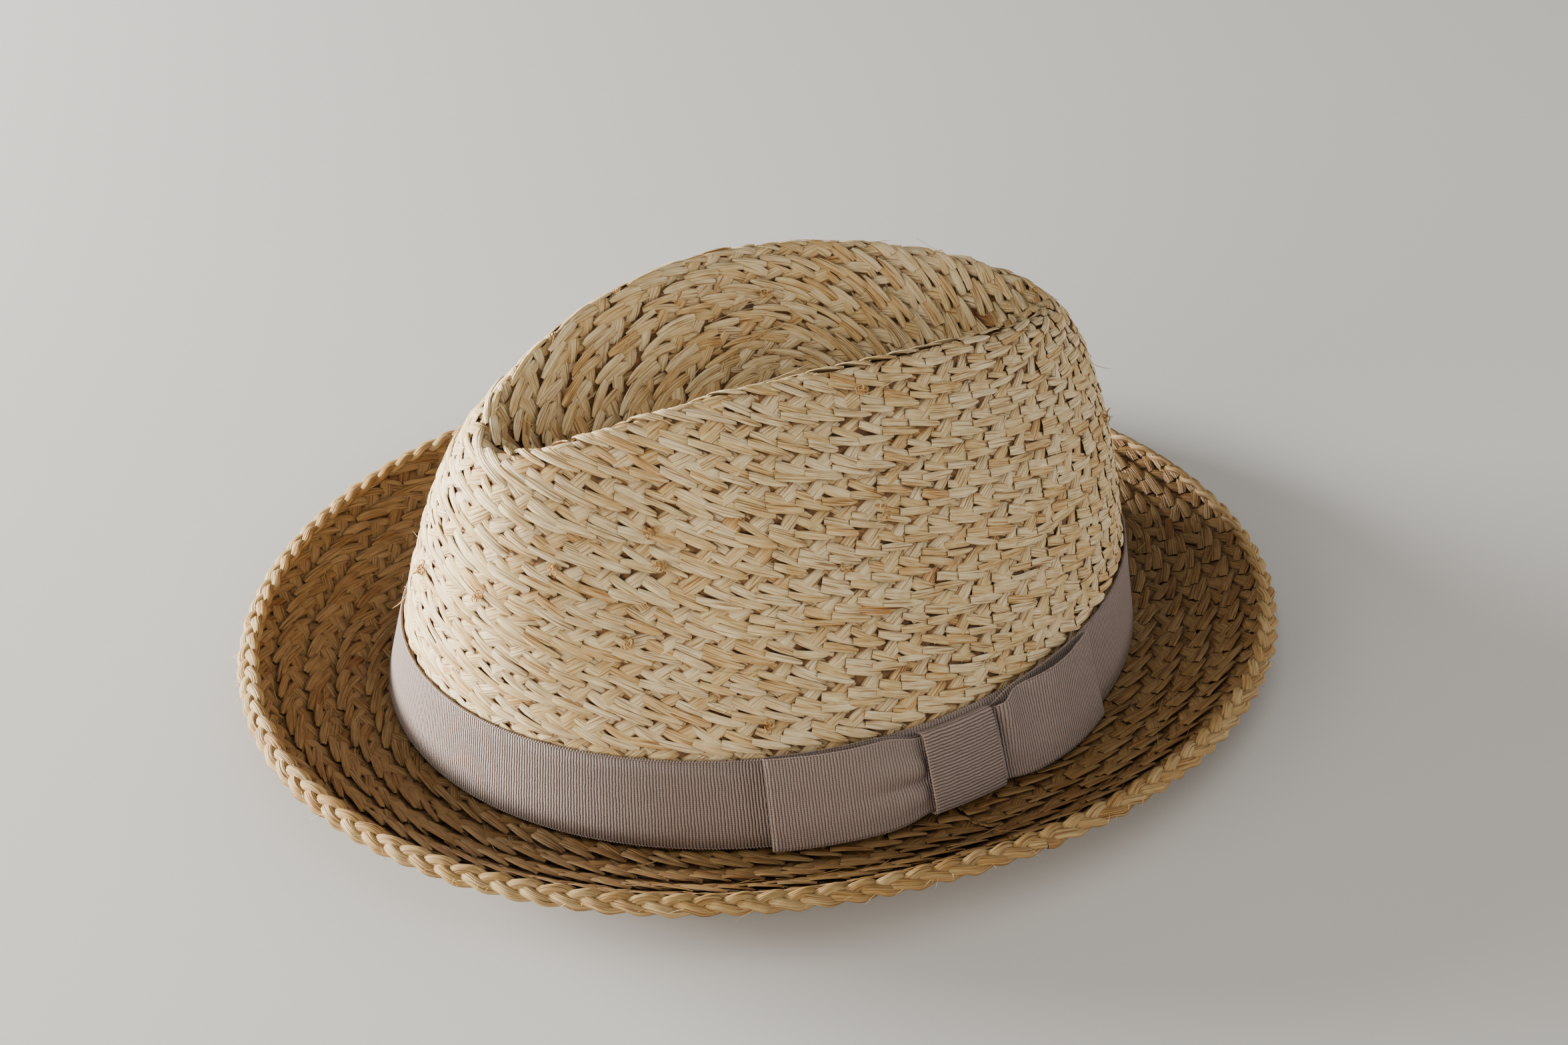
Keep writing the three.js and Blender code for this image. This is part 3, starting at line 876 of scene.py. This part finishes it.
class HAT_OT_edge(bpy.types.Operator):
    """Plaits the thick three-strand braid of the brim's edge"""

    bl_idname = "hat.edge"
    bl_label = "Brim edge"

    def execute(self, context):
        chance = np.random.RandomState(31)
        straw = raffia_material("thick_raffia", linear("#6E4A28"), (0.56, 0.48, 0.36))
        angle = np.linspace(0, ROUND, 2 * AROUND + 1)
        rim = BRIM.at(angle, 1 + 0 * angle, -WALL_THICKNESS / 2 + 0 * angle)
        inside = BRIM.at(angle, 0.96 + 0 * angle, -WALL_THICKNESS / 2 + 0 * angle)
        outward = unit(rim - inside)
        run = run_along(rim)
        # A strand comes back to the same place after one bump of each strand
        repeats = round(run[-1] / (BRAID_STRANDS * BRAID_BUMP))
        lean = math.radians(BRAID_LEAN)
        for strand in range(BRAID_STRANDS):
            name = "brim_edge_strand_" + "abc"[strand]
            shape, local = share_grid(repeats * BRAID_STEPS, BRAID_SIDES)
            phase = local[:, 0] * repeats * ROUND + strand * ROUND / BRAID_STRANDS
            here = local[:, 0] * run[-1]
            turn = np.interp(here, run, angle)
            centre = np.stack([np.interp(here, run, rim[:, axis]) for axis in range(3)], axis=1)
            out = unit(np.stack([np.interp(here, run, outward[:, axis]) for axis in range(3)], axis=1))
            ahead = np.stack([-np.sin(turn) * FOOT_WIDTH, np.cos(turn) * FOOT_LENGTH, 0 * turn], axis=1)
            tangent = unit(ahead)
            up = np.cross(out, tangent)
            up *= np.sign(up[:, 2:])
            face = out * math.cos(lean) + up * math.sin(lean)
            across = up * math.cos(lean) - out * math.sin(lean)
            spots = np.linspace(0, run[-1], repeats * 3)
            wobble = np.interp(here, spots, chance.normal(0, 0.14, len(spots)))
            sway = BRAID_SWAY * np.sin(phase) + wobble
            weave = BRAID_WEAVE * np.sin(2 * phase)
            plump = 1 + 0.2 * np.cos(2 * phase) ** 2
            around = local[:, 1] * ROUND
            heading = np.arctan2(BRAID_SWAY * repeats * ROUND / run[-1] * np.cos(phase), 1)
            broad = BRAID_BROAD * plump * np.cos(around)
            thin = BRAID_THIN * plump * np.sin(around)
            points = centre + out * (CLEARANCE + EDGE_WIDTH / 2 - UNDER_EDGE)
            points = points + across * (sway + broad * np.cos(heading))[:, None]
            points = points + face * (weave + thin)[:, None]
            points = points - tangent * (broad * np.sin(heading))[:, None]
            move_points(shape, points)
            mesh = new_mesh(shape, name)
            set_map(mesh, "leaf", here + 100 * strand, local[:, 1] * 8)
            tones = np.clip(chance.beta(2, 2, repeats * 2 + 1), 0, 0.95)
            set_number(mesh, "tone", tones[np.minimum((phase / math.pi).astype(int), repeats * 2)])
            # Painted shade on the side of each strand turned away from the braid's face
            set_number(mesh, "rise", np.clip(0.6 + 0.4 * np.sin(around), 0, 1))
            close_seam(mesh)
            piece = bpy.data.objects.new(name, mesh)
            finish_piece(piece, ["brim_edge"], straw)
        return {"FINISHED"}


def fibre_mesh():
    """A thin closed rod for one loose fibre, from -1 to 1 along X."""
    shape = bmesh.new()
    bmesh.ops.create_cone(
        shape, cap_ends=True, segments=4, radius1=1, radius2=1, depth=2,
        matrix=Matrix.Rotation(math.pi / 2, 4, "Y"))
    sides = [edge for edge in shape.edges if abs(edge.verts[0].co.x - edge.verts[1].co.x) > 1]
    bmesh.ops.subdivide_edges(shape, edges=sides, cuts=5)
    return new_mesh(shape, "fibre")


def lay_fibres(name, count, thickness, centre_line, tone, material):
    """Loose fibres whose middle lines are placed by a function of the place along them, from -1 to 1."""
    piece, local = repeat_mesh(name, fibre_mesh(), count)
    along = np.round(local[:, 0], 3)
    levels, level = np.unique(along, return_inverse=True)
    line = np.stack([centre_line(place) for place in levels], axis=1)
    ahead = unit(np.gradient(line, axis=1), 1e-9)
    beside = unit(np.cross(ahead, (0.3, 0.2, 0.93)), 1e-9)
    above = np.cross(ahead, beside)
    thick = thickness[:, None, None] / 2 * (1 - 0.7 * np.abs(levels[level])[None, :, None] ** 3)
    offset = beside[:, level] * local[None, :, 1:2] + above[:, level] * local[None, :, 2:3] * 0.5
    set_points(piece.data, line[:, level] + thick * offset)
    set_number(piece.data, "tone", np.repeat(tone, len(local)))
    set_number(piece.data, "rise", np.ones(count * len(local)))
    offset = np.repeat(np.arange(count) * 3.7, len(local))
    set_map(piece.data, "leaf", np.tile(local[:, 0] * 5, count), offset)
    finish_piece(piece, [], material)


class HAT_OT_fibres(bpy.types.Operator):
    """Lays loose fibres on the straw and knots small tufts where strands end"""

    bl_idname = "hat.fibres"
    bl_label = "Loose fibres"

    def execute(self, context):
        chance = np.random.RandomState(41)
        count = context.scene.hat_sizes.loose_fibres
        straw = raffia_material("loose_raffia", linear("#B98F5E"), (0.95, 0.92, 0.86))
        # Loose fibres on the brim take the brim's painted shade as a brown tint
        shaded = raffia_material("loose_shaded_raffia", linear("#B98F5E"), (0.5, 0.4, 0.27))

        def stray(surface, low, high):
            """Fibres that lie on a surface and lift away at one end."""
            angle = chance.uniform(0, ROUND, count)
            share = chance.uniform(low, high, count)
            length = chance.uniform(4, 12, count)
            drift = chance.normal(0, 0.35, count)
            lift = chance.exponential(0.7, count)
            side = chance.choice([-1, 1], count)
            girth = np.linalg.norm(surface.at(angle, share, 0 * angle)[:, :2], axis=1)

            def centre_line(place):
                step = (place + 1) / 2
                turn = angle + side * step * length / girth
                up = share + drift * step * length / surface.length
                return surface.at(turn, np.clip(up, 0, 1), 0.2 + lift * step**2)

            return centre_line

        on_crown = stray(CROWN, 0.14, 0.98)
        lay_fibres("crown_loose_fibres", count, chance.uniform(0.12, 0.3, count), on_crown,
                   chance.uniform(0.1, 0.9, count), straw)
        on_brim = stray(BRIM, 0.3, 0.9)
        lay_fibres("brim_loose_fibres", count, chance.uniform(0.1, 0.22, count), on_brim,
                   chance.uniform(0.0, 0.5, count), shaded)

        # Short hairs stand out under the edge braid
        turn = chance.uniform(0, ROUND, count)
        length = chance.uniform(1.5, 5, count)
        sideways = chance.normal(0, 0.6, count)
        down = chance.uniform(0.2, 0.9, count)

        def edge_line(place):
            step = (place + 1) / 2
            around = turn + sideways * step * length / EDGE_RADIUS
            rim = BRIM.at(around, 1 + 0 * turn, -HAIR_DEPTH + 0 * turn)
            inner = BRIM.at(turn, 0.9 + 0 * turn, -HAIR_DEPTH + 0 * turn)
            out = unit(rim - inner)
            fall = np.array([0, 0, -1.0]) * (down * length * step**2)[:, None]
            return rim + out * (1.2 + 0.8 * length * step)[:, None] + fall

        lay_fibres("brim_edge_hairs", count, chance.uniform(0.08, 0.2, count), edge_line,
                   chance.uniform(0.1, 0.7, count), straw)

        # Each tuft is a knot of short curls about 2 mm across
        spots = np.repeat(np.array(TUFTS), CURLS, axis=0)
        middle = CROWN.at(np.radians(spots[:, 0]), spots[:, 1], chance.uniform(0.3, 1.5, len(spots)))
        middle = middle + chance.normal(0, 0.55, middle.shape)
        first = unit(chance.normal(size=middle.shape))
        second = unit(np.cross(first, chance.normal(size=middle.shape)))
        radius = chance.uniform(0.5, 1.3, len(spots))[:, None]

        def curl_line(place):
            turn = place * 1.9
            return middle + radius * (math.cos(turn) * first + math.sin(turn) * second)

        lay_fibres("crown_tufts", len(spots), chance.uniform(0.25, 0.5, len(spots)), curl_line,
                   chance.choice([0.2, 0.5, 1.0, 1.0], len(spots)), straw)
        return {"FINISHED"}


class HAT_OT_ribbon(bpy.types.Operator):
    """Wraps the grosgrain ribbon round the foot of the crown"""

    bl_idname = "hat.ribbon"
    bl_label = "Ribbon band"

    def execute(self, context):
        ribbed = grosgrain_material("grosgrain", False)

        def place(along, up):
            angle = along * ROUND
            return wall_place(angle, BAND_START + up * RIBBON_WIDTH, RIBBON_ROOM - BAND_INSET + 0 * up)

        band = cloth_grid("ribbon_band_cloth", 360, 6, place, (RIBBON_LENGTH, RIBBON_WIDTH), True)
        thicken(band, CLOTH_THICKNESS)
        finish_piece(band, ["ribbon_band"], ribbed)
        for name, up in (("ribbon_band_top_edge", 1), ("ribbon_band_low_edge", 0)):
            woven_edge(name, RIBBON_LENGTH, lambda along: place(along, up + 0 * along), ribbed)
        return {"FINISHED"}


class HAT_OT_bow(bpy.types.Operator):
    """Folds the two loops of the bow and wraps its knot"""

    bl_idname = "hat.bow"
    bl_label = "Bow"

    def execute(self, context):
        ribbed = grosgrain_material("grosgrain_loops", False)
        crossed = grosgrain_material("grosgrain_knot", True)
        line = ribbon_line()
        run = run_along(line)
        length = run[-1]
        shares = run / length
        for name, direction in (("bow_front_loop", -1), ("bow_back_loop", 1)):

            def place(along, up):
                distance = np.interp(along, shares, line[:, 0])
                away = np.interp(along, shares, line[:, 1])
                grip = knot_grip(distance)
                top = RIBBON_WIDTH + mix(LOOP_RISE, -KNOT_GATHER, grip)
                height = mix(KNOT_GATHER * grip, top, up)
                outer = np.clip((along - 0.52) * 12, 0, 1)
                past = distance - KNOT_WIDTH / 2
                free = np.clip((past + 0.5) / 4, 0, 1)
                free = free * free * (3 - 2 * free)
                if direction < 0:
                    # The knot pinches a pleat below the middle, which fades about 20 mm away
                    pleat = sum(high * bell(up - middle, spread) for high, middle, spread in PLEAT)
                    fold = free * bell(past - 1, 12) * pleat
                    splay = 1.5 * up**2 * bell(past - 20, 13)
                else:
                    # A soft lip beside the knot, a hollow behind it and a long swell
                    high = np.clip((up - 0.15) / 0.7, 0, 1)
                    slant = 7 * (1 - up)
                    fold = free * high * (
                        1.9 * bell(past - 4 - 0.5 * slant, 3.2) - 0.7 * bell(past - 11 - slant, 4))
                    fold = fold + 0.9 * free * bell(past - 24, 11)
                    splay = 1.1 * up**2 * bell(past - 23, 12)
                shaped = away + outer * (fold + free * splay)
                return wall_place(bow_angle(direction * distance), height, RIBBON_ROOM + shaped)

            loop = cloth_grid(name + "_cloth", 150, 32, place, (length, RIBBON_WIDTH))
            thicken(loop, CLOTH_THICKNESS)
            finish_piece(loop, [name], ribbed)
            for edge, up in (("_top_edge", 1), ("_low_edge", 0)):
                woven_edge(name + edge, length, lambda along: place(along, up + 0 * along), crossed)

        lip = CLEARANCE + RIBBON_PACKED / 2
        low = KNOT_GATHER - lip
        high = RIBBON_WIDTH - KNOT_GATHER + lip
        outer = 3 * CLEARANCE + 2.5 * RIBBON_PACKED
        outline = np.array([
            (low, lip, 0), (low, outer - 0.5, 0), (low + 0.5, outer, 0),
            (mix(low, high, 0.5), outer + LOOP_GAP / 2, 0),
            (high - 0.5, outer, 0), (high, outer - 0.5, 0), (high, lip, 0),
        ])
        wrap = even_steps(smooth_curve(outline[None].astype(float), 10), 40)[0]

        def place_knot(along, up):
            distance = mix(-KNOT_WIDTH / 2, KNOT_WIDTH / 2, along)
            share = np.linspace(0, 1, len(wrap))
            height = np.interp(up, share, wrap[:, 0])
            away = np.interp(up, share, wrap[:, 1])
            return wall_place(bow_angle(distance), height, RIBBON_ROOM + away)

        for edge, along in (("bow_knot_front_edge", 0), ("bow_knot_back_edge", 1)):
            woven_edge(edge, 24, lambda up: place_knot(along + 0 * up, up), crossed)
        tall = run_along(wrap)[-1]
        knot = cloth_grid("bow_knot_cloth", 24, 40, place_knot, (KNOT_WIDTH, tall))
        thicken(knot, KNOT_THICKNESS)
        finish_piece(knot, ["bow_knot"], crossed)
        return {"FINISHED"}


class HAT_OT_stage(bpy.types.Operator):
    """Sets the pale floor, the soft light and the camera"""

    bl_idname = "hat.stage"
    bl_label = "Floor, light and camera"

    def execute(self, context):
        scene = context.scene
        shape = bmesh.new()
        bmesh.ops.create_grid(shape, x_segments=1, y_segments=1, size=3)
        mesh = new_mesh(shape, "floor")
        floor = bpy.data.objects.new("floor", mesh)
        pale = {"Base Color": (*linear("#D8D6D2"), 1), "Roughness": 0.9}
        mesh.materials.append(new_material("pale_floor", pale)[0])
        scene.collection.objects.link(floor)

        world = bpy.data.worlds.new("soft_studio")
        world.use_nodes = True
        background = world.node_tree.nodes["Background"]
        background.inputs["Color"].default_value = (*linear("#E4E9F0"), 1)
        background.inputs["Strength"].default_value = 0.26
        scene.world = world

        for name, place, size, power, colour in LIGHTS:
            data = bpy.data.lights.new(name, "AREA")
            data.shape = "RECTANGLE"
            data.size, data.size_y = size
            data.energy = power
            data.color = linear(colour)
            light = bpy.data.objects.new(name, data)
            light.location = place
            towards = Vector((0, 0, 0.05)) - light.location
            light.rotation_euler = towards.to_track_quat("-Z", "Y").to_euler()
            scene.collection.objects.link(light)

        azimuth = math.radians(CAMERA_AZIMUTH)
        elevation = math.radians(CAMERA_ELEVATION)
        roll = math.radians(CAMERA_ROLL)
        back = Vector((
            math.sin(azimuth) * math.cos(elevation),
            -math.cos(azimuth) * math.cos(elevation),
            math.sin(elevation),
        ))
        upright = Vector((0, 0, 1))
        ahead = -back
        right = ahead.cross(upright).normalized()
        up = right.cross(ahead)
        aside = math.tan(math.radians(CAMERA_RIGHT)) * right
        ahead = (ahead + aside + math.tan(math.radians(CAMERA_UP)) * up).normalized()
        right = ahead.cross(upright).normalized()
        up = right.cross(ahead)
        rolled_right = math.cos(roll) * right + math.sin(roll) * up
        rolled_up = math.cos(roll) * up - math.sin(roll) * right
        lens = bpy.data.cameras.new("camera")
        lens.sensor_width = 36
        lens.lens = CAMERA_LENS
        camera = bpy.data.objects.new("camera", lens)
        place = back * CAMERA_DISTANCE + Vector((MIDDLE_X * MM, MIDDLE_Y * MM, FOOT_HEIGHT * MM))
        turn = Matrix((rolled_right, rolled_up, -ahead)).transposed().to_4x4()
        camera.matrix_world = Matrix.Translation(place) @ turn
        scene.collection.objects.link(camera)
        scene.camera = camera
        return {"FINISHED"}


class HAT_PT_panel(bpy.types.Panel):
    """Lists the hat's pieces, sizes and colours"""

    bl_label = "Raffia hat"
    bl_idname = "HAT_PT_panel"
    bl_space_type = "VIEW_3D"
    bl_region_type = "UI"
    bl_category = "Hat"

    def draw(self, context):
        layout = self.layout
        for group in (context.scene.hat_sizes, context.scene.hat_colours):
            for name in group.__annotations__:
                layout.prop(group, name)
        for maker in MAKERS:
            layout.operator(maker.bl_idname)


MAKERS = (HAT_OT_crown, HAT_OT_brim, HAT_OT_edge, HAT_OT_fibres, HAT_OT_ribbon, HAT_OT_bow, HAT_OT_stage)
CLASSES = (HatSizes, HatColours, *MAKERS, HAT_PT_panel)


def register():
    for made in CLASSES:
        bpy.utils.register_class(made)
    bpy.types.Scene.hat_sizes = bpy.props.PointerProperty(type=HatSizes)
    bpy.types.Scene.hat_colours = bpy.props.PointerProperty(type=HatColours)


def unregister():
    del bpy.types.Scene.hat_colours
    del bpy.types.Scene.hat_sizes
    for made in reversed(CLASSES):
        bpy.utils.unregister_class(made)


def main():
    register()
    bpy.ops.hat.crown()
    bpy.ops.hat.brim()
    bpy.ops.hat.edge()
    bpy.ops.hat.fibres()
    bpy.ops.hat.ribbon()
    bpy.ops.hat.bow()
    bpy.ops.hat.stage()


if __name__ == "__main__":
    main()
